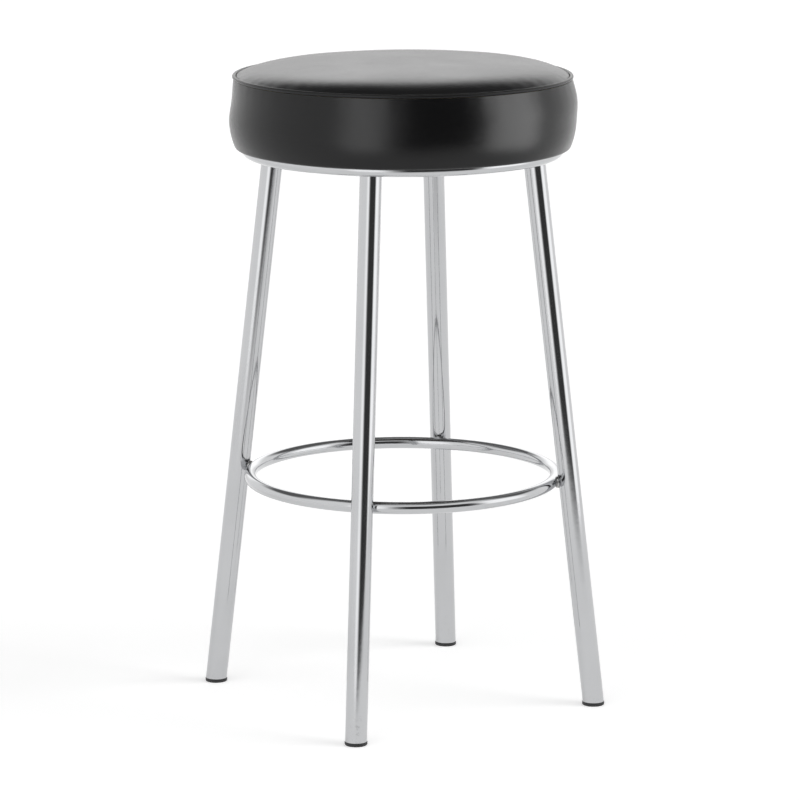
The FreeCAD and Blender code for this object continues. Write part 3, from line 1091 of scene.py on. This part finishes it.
        Bench.move_points(top, puckered)
        Bench.modify(top, "SOLIDIFY", thickness=self.cloth, offset=-1.0)
        Bench.smooth(top)

    def pull(self, place: Vector, count: int) -> float:
        """Uneven pull of a sewn edge round the cushion.

        Args:
            place: Where it is felt.
            count: Pulls to the full turn.

        Returns:
            The pull, from 0 to 1.
        """
        turn = math.atan2(place.y, place.x)
        across, along = self.pull_lumps * math.cos(turn), self.pull_lumps * math.sin(turn)
        drift = self.pull_drift * noise.noise(Vector((across, along, count)))
        return 0.5 + 0.5 * math.sin(count * turn + drift)

    def sew_band(self, band: bpy.types.Object) -> None:
        """Gathers the hem, sews the band's ends together at the rear, and gives it thickness.

        Args:
            band: The side band, a thin skin.
        """
        hem_width = self.hem_outer[0] - self.hem_inner[0]

        def gathered(place: Vector) -> Vector:
            """Lifts the hem between its gathers, and sinks the band below the seam.

            Args:
                place: A place of the smooth band.

            Returns:
                Where it goes.
            """
            inward = (self.hem_outer[0] - place.xy.length) / hem_width
            if inward > 0:
                place.z += self.pleat_depth * inward * self.pull(place, self.pleats)
                return place
            near = math.exp(-max(self.seam_height - place.z, 0.0) / self.pucker_reach)
            sunk = self.pucker_depth * near * self.pull(place, self.puckers)
            place.xy -= place.xy.normalized() * sunk
            return place

        Bench.move_points(band, gathered)
        self.sew_join(band)
        Bench.modify(band, "SOLIDIFY", thickness=self.cloth, offset=-1.0)
        Bench.smooth(band)

    def sew_join(self, band: bpy.types.Object) -> None:
        """Creases the upright line at the rear where the band's ends are sewn together.

        Args:
            band: The side band, a thin skin.
        """
        width = self.join_width
        for side in (-width, -width / 2, 0.0, width / 2, width):
            places = [point.co for point in band.data.vertices]
            near = [place.y > 0 and abs(place.x) < self.join_reach for place in places]
            Bench.select_points(band, near)
            with Bench.editing(band):
                bpy.ops.mesh.bisect(plane_co=(side, 0, 0), plane_no=(1, 0, 0))

        def creased(place: Vector) -> Vector:
            """Sinks the band along the sewn line.

            Args:
                place: A place of the uncreased band.

            Returns:
                Where it goes.
            """
            off_line = abs(place.x) / width
            if place.y > 0 and off_line < 1 and self.on_band(place):
                place.y -= self.join_depth * (1 - off_line) ** 2
            return place

        Bench.move_points(band, creased)

    def welt(self) -> bpy.types.Object:
        """Models the piping: a covered cord with stitch marks and a joint at the rear.

        Returns:
            The welt.
        """
        low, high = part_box("seat_welt")
        thick = (high.z - low.z) / 2
        ring = high.x - thick
        level = (low.z + high.z) / 2
        turns = [FULL_TURN * side / self.piping_sides for side in range(self.piping_sides + 1)]
        outline = [(ring + thick * math.cos(t), level + thick * math.sin(t)) for t in turns]
        welt = Bench.turn("seat_piping", outline, self.stitches * self.steps_per_stitch)

        def sewn(place: Vector) -> Vector:
            """Draws the cover in at each stitch, and to a nick where the piping's ends meet.

            Args:
                place: A place of the even piping.

            Returns:
                Where it goes.
            """
            turn = math.atan2(place.y, place.x)
            way = Vector((math.cos(turn), math.sin(turn), 0))
            spine = way * ring + Vector((0, 0, level))
            stitch = self.stitch_share * (0.5 + 0.5 * math.cos(self.stitches * turn))
            lump = self.lump_share * abs(noise.noise(way * self.lumps))
            from_joint = abs(turn - math.pi / 2) * ring
            nick = self.nick_share * math.exp(-((from_joint / self.cloth) ** 2))
            return spine + (place - spine) * (1 - stitch - lump - nick)

        Bench.move_points(welt, sewn)
        Bench.smooth(welt)
        return welt

    def foam_core(self) -> bpy.types.Object:
        """Models the foam: crowned on top, wrapped down round the board's edge.

        Returns:
            The foam.
        """
        low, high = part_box("seat_foam")
        board_low, board_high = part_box("seat_board")
        gap = low.z - board_low.z
        inset = self.belly_radius - high.x + self.fuller_by
        edge = board_high.x + gap
        rest = board_high.z + gap
        band = [(radius, height) for radius, height in self.band_line(inset) if height > low.z]
        foot = (band[-1][0], low.z)
        under = [(edge, low.z), (edge, rest), *line((edge, rest), (0.0, rest), count=4)]
        outline = [*self.crown_line(inset), *band, foot, *under]
        core = Bench.turn("seat_foam_core", outline, self.segments)
        Bench.smooth(core)
        return core


def finish_piece(
    piece: bpy.types.Object, material: bpy.types.Material, slot: Slot, *nodes: str
) -> None:
    """Gives a modelled piece its finish and its place on the frame.

    Args:
        piece: The piece.
        material: Its finish.
        slot: The record's slot that the finish stands for; not used.
        nodes: The frame's nodes that it stands for.
    """
    piece.data.materials.clear()
    piece.data.materials.append(material)
    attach(piece, BODY)
    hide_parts(*nodes)
    faces = len(piece.data.polygons)
    LOG.info("%s: %d faces, stands for %s", piece.name, faces, ", ".join(nodes))


@dataclass(frozen=True)
class SoftBox:
    """An upright soft box, turned from the camera's side towards the right of the picture."""

    name: str
    turn: float
    width: float
    energy: float
    height: float = 1.22
    middle: float = 0.64
    distance: float = 1.4

    def hang(self, away: Vector, lit: bpy.types.Object) -> None:
        """Hangs the box, facing the stool, so that it puts a sheen on one piece alone.

        Args:
            away: Level direction from the stool to the box.
            lit: The piece that gets its light.
        """
        lamp = bpy.data.lights.new(self.name, "AREA")
        lamp.shape = "RECTANGLE"
        lamp.size = self.width
        lamp.size_y = self.height
        lamp.energy = self.energy
        box = bpy.data.objects.new(self.name, lamp)
        box.location = away * self.distance + Vector((0, 0, self.middle))
        box.rotation_euler = away.to_track_quat("Z", "Y").to_euler()
        box.visible_camera = False
        box.visible_diffuse = False
        receivers = bpy.data.collections.new(f"{self.name}_lights")
        receivers.objects.link(lit)
        box.light_linking.receiver_collection = receivers
        bpy.context.scene.collection.objects.link(box)


@dataclass(frozen=True)
class Studio:
    """White floor, soft light all round, and a camera where the photograph was taken.

    The room's light depends on the turn from the camera's side to the right of the picture and
    on the rise over the horizon, both in degrees, and on the reach towards the camera, from -1
    to 1. Each span of them is where the light changes smoothly.
    """

    view_azimuth: float = math.radians(-31.649)
    view_distance: float = 4.3692
    view_height: float = 1.2027
    view_pitch: float = math.radians(11.39)
    focal_pixels: float = 4168.2
    frame_pixels: float = 800.0
    axis_pixel: Point = (402.8, 400.5)
    sensor: float = 36.0
    floor_sides: int = 96
    floor_reach: float = 2.6
    floor_stretch: float = 4.0
    floor_fade: Span = (0.7, 2.45)
    paper_levels: Span = (0.78, 0.8)
    paper_fibres: float = 300.0
    paper_roughness: float = 0.9
    paper_glow: float = 0.42
    ceiling: float = 0.15
    zenith: float = 0.5
    zenith_rise: Span = (72.0, 86.0)
    wall: float = 0.95
    wall_rise: Span = (24.0, 37.0)
    bank_rise: Span = (58.0, 72.0)
    bank_reach: Span = (-0.25, 0.25)
    back_reach: Span = (-0.95, -0.8)
    back_rise: Span = (2.0, 17.0)
    back_gain: float = 0.75
    back_loss: float = 0.17
    low_rise: Span = (32.0, 42.0)
    unlit_share: float = 0.95
    unlit_from: Span = (-17.0, 5.0)
    unlit_to: Span = (48.0, 66.0)
    left_turn: Span = (-38.0, -12.0)
    left_soft: float = 6.0
    left_light: float = 0.45
    right_turn: Span = (61.0, 97.0)
    right_soft: float = 8.0
    right_light: float = 0.6
    key_turn: float = math.radians(82)
    key_rise: float = math.radians(36)
    key_angle: float = math.radians(36)
    key_energy: float = 0.75
    left_sheen: SoftBox = SoftBox("left_box", math.radians(-25), 0.64, 3.1)
    right_sheen: SoftBox = SoftBox("right_box", math.radians(75), 1.0, 12.5)

    def towards_camera(self) -> Vector:
        """Level direction from the stool to the camera."""
        return Vector((math.sin(self.view_azimuth), -math.cos(self.view_azimuth), 0))

    def rightwards(self) -> Vector:
        """Level direction to the right of the picture."""
        return Vector((math.cos(self.view_azimuth), math.sin(self.view_azimuth), 0))

    def turned(self, turn: float) -> Vector:
        """Level direction at a turn from the camera's side to the right of the picture."""
        return self.towards_camera() * math.cos(turn) + self.rightwards() * math.sin(turn)

    def build(self) -> None:
        """Sets the camera, the light, the floor and a plain view of the colours."""
        self.set_camera()
        self.set_world()
        self.lay_floor()
        self.hang_key_light()
        for box in (self.left_sheen, self.right_sheen):
            box.hang(self.turned(box.turn), bpy.data.objects[Cushion.band_name])
        bpy.context.scene.view_settings.view_transform = "Standard"

    def set_camera(self) -> None:
        """Makes the camera and gives it to the scene."""
        lens = bpy.data.cameras.new("camera")
        lens.sensor_width = self.sensor
        lens.lens = self.focal_pixels * self.sensor / self.frame_pixels
        middle = self.frame_pixels / 2
        lens.shift_x = (middle - self.axis_pixel[0]) / self.frame_pixels
        lens.shift_y = (self.axis_pixel[1] - middle) / self.frame_pixels
        camera = bpy.data.objects.new("camera", lens)
        below = self.towards_camera() * self.view_distance
        camera.location = below + Vector((0, 0, self.view_height))
        camera.rotation_euler = (math.pi / 2 - self.view_pitch, 0, self.view_azimuth)
        bpy.context.scene.collection.objects.link(camera)
        bpy.context.scene.camera = camera

    def set_world(self) -> None:
        """Surrounds the stool with the room's light, while the camera sees a white backdrop."""
        world = bpy.data.worlds.new("studio")
        world.use_nodes = True
        bpy.context.scene.world = world
        graph = Graph(world.node_tree)
        room = {"Color": grey(1.0), "Strength": self.room_light(graph)}
        lit = graph.add("ShaderNodeBackground", inputs=room)
        white = {"Color": grey(1.0), "Strength": 1.0}
        backdrop = graph.add("ShaderNodeBackground", inputs=white)
        seen = graph.add("ShaderNodeLightPath", output="Is Camera Ray")
        shown = graph.add("ShaderNodeMixShader", inputs={0: seen, 1: lit, 2: backdrop})
        graph.close("ShaderNodeOutputWorld", "Surface", shown)

    def room_light(self, graph: Graph) -> Socket:
        """Works out the light of a white room with a bank of lamps, two boxes and an unlit front.

        Args:
            graph: The world's graph.

        Returns:
            The light that comes from each direction.
        """
        ray = graph.add("ShaderNodeTexCoord", output="Generated")
        ahead = self.along(graph, ray, self.towards_camera())
        right = self.along(graph, ray, self.rightwards())
        turn = right.math("ARCTAN2", ahead) * math.degrees(1)
        rise = graph.axis(ray, "Z").math("ARCSINE") * math.degrees(1)
        back = 1 - ahead.step(*self.back_reach)
        glow = self.wall + back * (self.back_gain * rise.step(*self.back_rise) - self.back_loss)
        overhead = self.ceiling + rise.step(*self.zenith_rise) * self.zenith
        wall = overhead + (1 - rise.step(*self.wall_rise)) * glow
        bank = overhead + (1 - rise.step(*self.bank_rise)) * self.wall
        room = wall + (bank - wall) * ahead.step(*self.bank_reach)
        low = 1 - rise.step(*self.low_rise)
        front = turn.step(*self.unlit_from) * (1 - turn.step(*self.unlit_to)) * low
        left_box = turn.window(*self.left_turn, self.left_soft) * low * self.left_light
        right_box = turn.window(*self.right_turn, self.right_soft) * low * self.right_light
        return room * (1 - front * self.unlit_share) + left_box + right_box

    @staticmethod
    def along(graph: Graph, ray: Socket, direction: Vector) -> Socket:
        """Measures the reach of a ray, or of a place, along a direction.

        Args:
            graph: The graph to build in.
            ray: Direction that is looked in, or the place.
            direction: Direction that it is measured along.

        Returns:
            The reach.
        """
        inputs = {0: ray, 1: tuple(direction)}
        return graph.add("ShaderNodeVectorMath", {"operation": "DOT_PRODUCT"}, inputs, "Value")

    def lay_floor(self) -> None:
        """Lays a pale sheet that is rounded in front of the stool and runs far back behind it."""
        Bench.clear()
        size = {"vertices": self.floor_sides, "radius": self.floor_reach}
        bpy.ops.mesh.primitive_circle_add(fill_type="NGON", **size)
        floor = bpy.context.object
        floor.name = "floor"
        forwards = self.towards_camera()

        def drawn_back(place: Vector) -> Vector:
            """Draws the rear half of the sheet away from the camera."""
            behind = min(place.dot(forwards), 0.0)
            return place + forwards * behind * (self.floor_stretch - 1)

        Bench.move_points(floor, drawn_back)
        floor.data.materials.append(self.floor_material())

    def floor_material(self) -> bpy.types.Material:
        """White sweep paper, a little lit from within so that shadows stay faint.

        Towards the camera it fades into the unlit front. Seen from below it is clear, so that
        the stool's underside can be looked at.

        Returns:
            The paper's material.
        """
        made = bpy.data.materials.new("floor_paper")
        made.use_nodes = True
        graph = Graph(made.node_tree)
        place = graph.place()
        fibres = graph.noise(place, self.paper_fibres, detail=3.0)
        paper = {
            "Base Color": graph.mix(fibres, *(grey(level) for level in self.paper_levels)),
            "Roughness": self.paper_roughness,
            "Specular IOR Level": 0.0,
            "Emission Color": grey(1.0),
            "Emission Strength": self.paper_glow,
        }
        shader = graph.add("ShaderNodeBsdfPrincipled", inputs=paper)
        below = graph.add("ShaderNodeNewGeometry", output="Backfacing")
        faded = self.along(graph, place, self.towards_camera()).step(*self.floor_fade)
        gone = faded.math("MAXIMUM", below)
        clear = graph.add("ShaderNodeBsdfTransparent")
        shown = graph.add("ShaderNodeMixShader", inputs={0: gone, 1: shader, 2: clear})
        graph.close("ShaderNodeOutputMaterial", "Surface", shown)
        return made

    def hang_key_light(self) -> None:
        """Hangs a soft lamp to the right, which lays faint shadows to the left."""
        lamp = bpy.data.lights.new("key", "SUN")
        lamp.energy = self.key_energy
        lamp.angle = self.key_angle
        key = bpy.data.objects.new("key", lamp)
        upwards = Vector((0, 0, math.tan(self.key_rise)))
        way = self.turned(self.key_turn) + upwards
        key.rotation_euler = way.to_track_quat("Z", "Y").to_euler()
        key.visible_glossy = False
        bpy.context.scene.collection.objects.link(key)


@dataclass(frozen=True)
class HardParts:
    """The stool's rigid parts, whose shapes come with the frame, and their weld beads."""

    corners: tuple[str, ...] = ("front_left", "front_right", "rear_left", "rear_right")
    rings: tuple[str, ...] = ("foot_ring", "seat_ring")
    fasteners: tuple[str, ...] = ("seat_bolts", "seat_washers", "seat_t_nuts", "seat_staples")
    board: str = "seat_board"
    bead_voxel: float = 0.00035
    ripple_length: float = 0.0019
    ripple_depth: float = 0.0002
    ripple_middle: float = 0.5

    def build(self) -> None:
        """Dresses the tube frame, its plates, welds and glides, the board and its fasteners."""
        legs = [f"leg_{corner}" for corner in self.corners]
        plates = [f"top_plate_{corner}" for corner in self.corners]
        glides = [f"glide_{corner}" for corner in self.corners]
        bead = WeldBead("weld_bead").material()
        self.lay_beads("foot_ring_beads", "foot_ring_welds", bead, Slot.CHROME)
        self.lay_beads("leg_top_beads", "leg_top_welds", bead, Slot.PLATE)
        self.lay_beads("seat_ring_beads", "seat_ring_welds", bead, Slot.PLATE)
        self.dress((*legs, *self.rings), BrightChrome("chrome").material(), Slot.CHROME)
        self.dress(plates, RolledPlate("plate_steel").material(), Slot.PLATE)
        self.dress(glides, MouldedPlastic("glide_plastic").material(), Slot.GLIDE)
        self.dress((self.board,), Plywood("plywood").material(), Slot.PLYWOOD)
        self.dress(self.fasteners, ZincPlate("zinc").material(), Slot.FASTENER)

    def lay_beads(self, name: str, node: str, material: bpy.types.Material, slot: Slot) -> None:
        """Stands beads with ripples in for a node of plain weld beads.

        Args:
            name: Name of the new piece.
            node: The node's name.
            material: The beads' finish.
            slot: The record's slot that the finish stands for.
        """
        beads = bpy.data.objects.new(name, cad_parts[node].data.copy())
        beads.data.name = name
        bpy.context.scene.collection.objects.link(beads)
        with Bench.editing(beads):
            bpy.ops.mesh.select_all(action="SELECT")
            bpy.ops.mesh.remove_doubles(threshold=MERGE_DISTANCE)
        Bench.modify(beads, "REMESH", mode="VOXEL", voxel_size=self.bead_voxel)
        outwards = [point.normal.copy() for point in beads.data.vertices]
        for point, way in zip(beads.data.vertices, outwards):
            from_ripple = noise.voronoi(point.co / self.ripple_length)[0][0]
            point.co += way * self.ripple_depth * (self.ripple_middle - from_ripple)
        beads.data.update()
        Bench.smooth(beads)
        finish_piece(beads, material, slot, node)

    @staticmethod
    def dress(nodes: Sequence[str], material: bpy.types.Material, slot: Slot) -> None:
        """Gives nodes of the frame their finish.

        Args:
            nodes: The nodes' names.
            material: The finish.
            slot: The record's slot that it stands for; not used.
        """
        for node in nodes:
            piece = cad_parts[node]
            piece.data.materials.clear()
            piece.data.materials.append(material)
            LOG.info("%s dressed in %s", node, material.name)


def main() -> None:
    """Builds the stool's looks and the studio."""
    logging.basicConfig(level=logging.INFO, format="%(name)s: %(message)s")
    leatherette = Leatherette("leatherette").material()
    piping = Leatherette("welt_leatherette", pebbles=1100.0).material()
    HardParts().build()
    Cushion().build(leatherette, piping, SeatFoam("foam").material())
    Studio().build()


if __name__ == "__main__":
    main()
